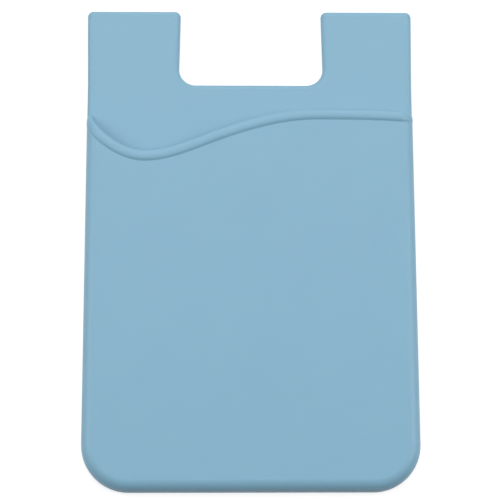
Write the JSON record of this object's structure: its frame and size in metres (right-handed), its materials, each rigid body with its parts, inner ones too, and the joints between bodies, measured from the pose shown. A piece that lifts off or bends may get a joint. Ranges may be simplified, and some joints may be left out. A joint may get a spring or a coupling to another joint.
{
  "type": "stick on phone card holder",
  "caption": "Light blue silicone card pocket with two ears, a finger notch and a wavy raised lip, that sticks to the back of a phone.",
  "frame": {"origin": "middle of the release liner's underside, below the middle of the body's outline", "axes": "+Z out of the pocket's front, +Y from the closed bottom to the two ears, +X to the right as seen from the front with the ears up"},
  "size_m": [0.0588, 0.087, 0.0036],
  "materials": {
    "silicone": "matte moulded silicone",
    "adhesive": "acrylic double-sided tape",
    "liner": "coated release paper"
  },
  "bodies": {
    "root": {"pocket_body": "silicone", "adhesive_pad": "adhesive", "release_liner": "liner"}
  },
  "joints": []
}
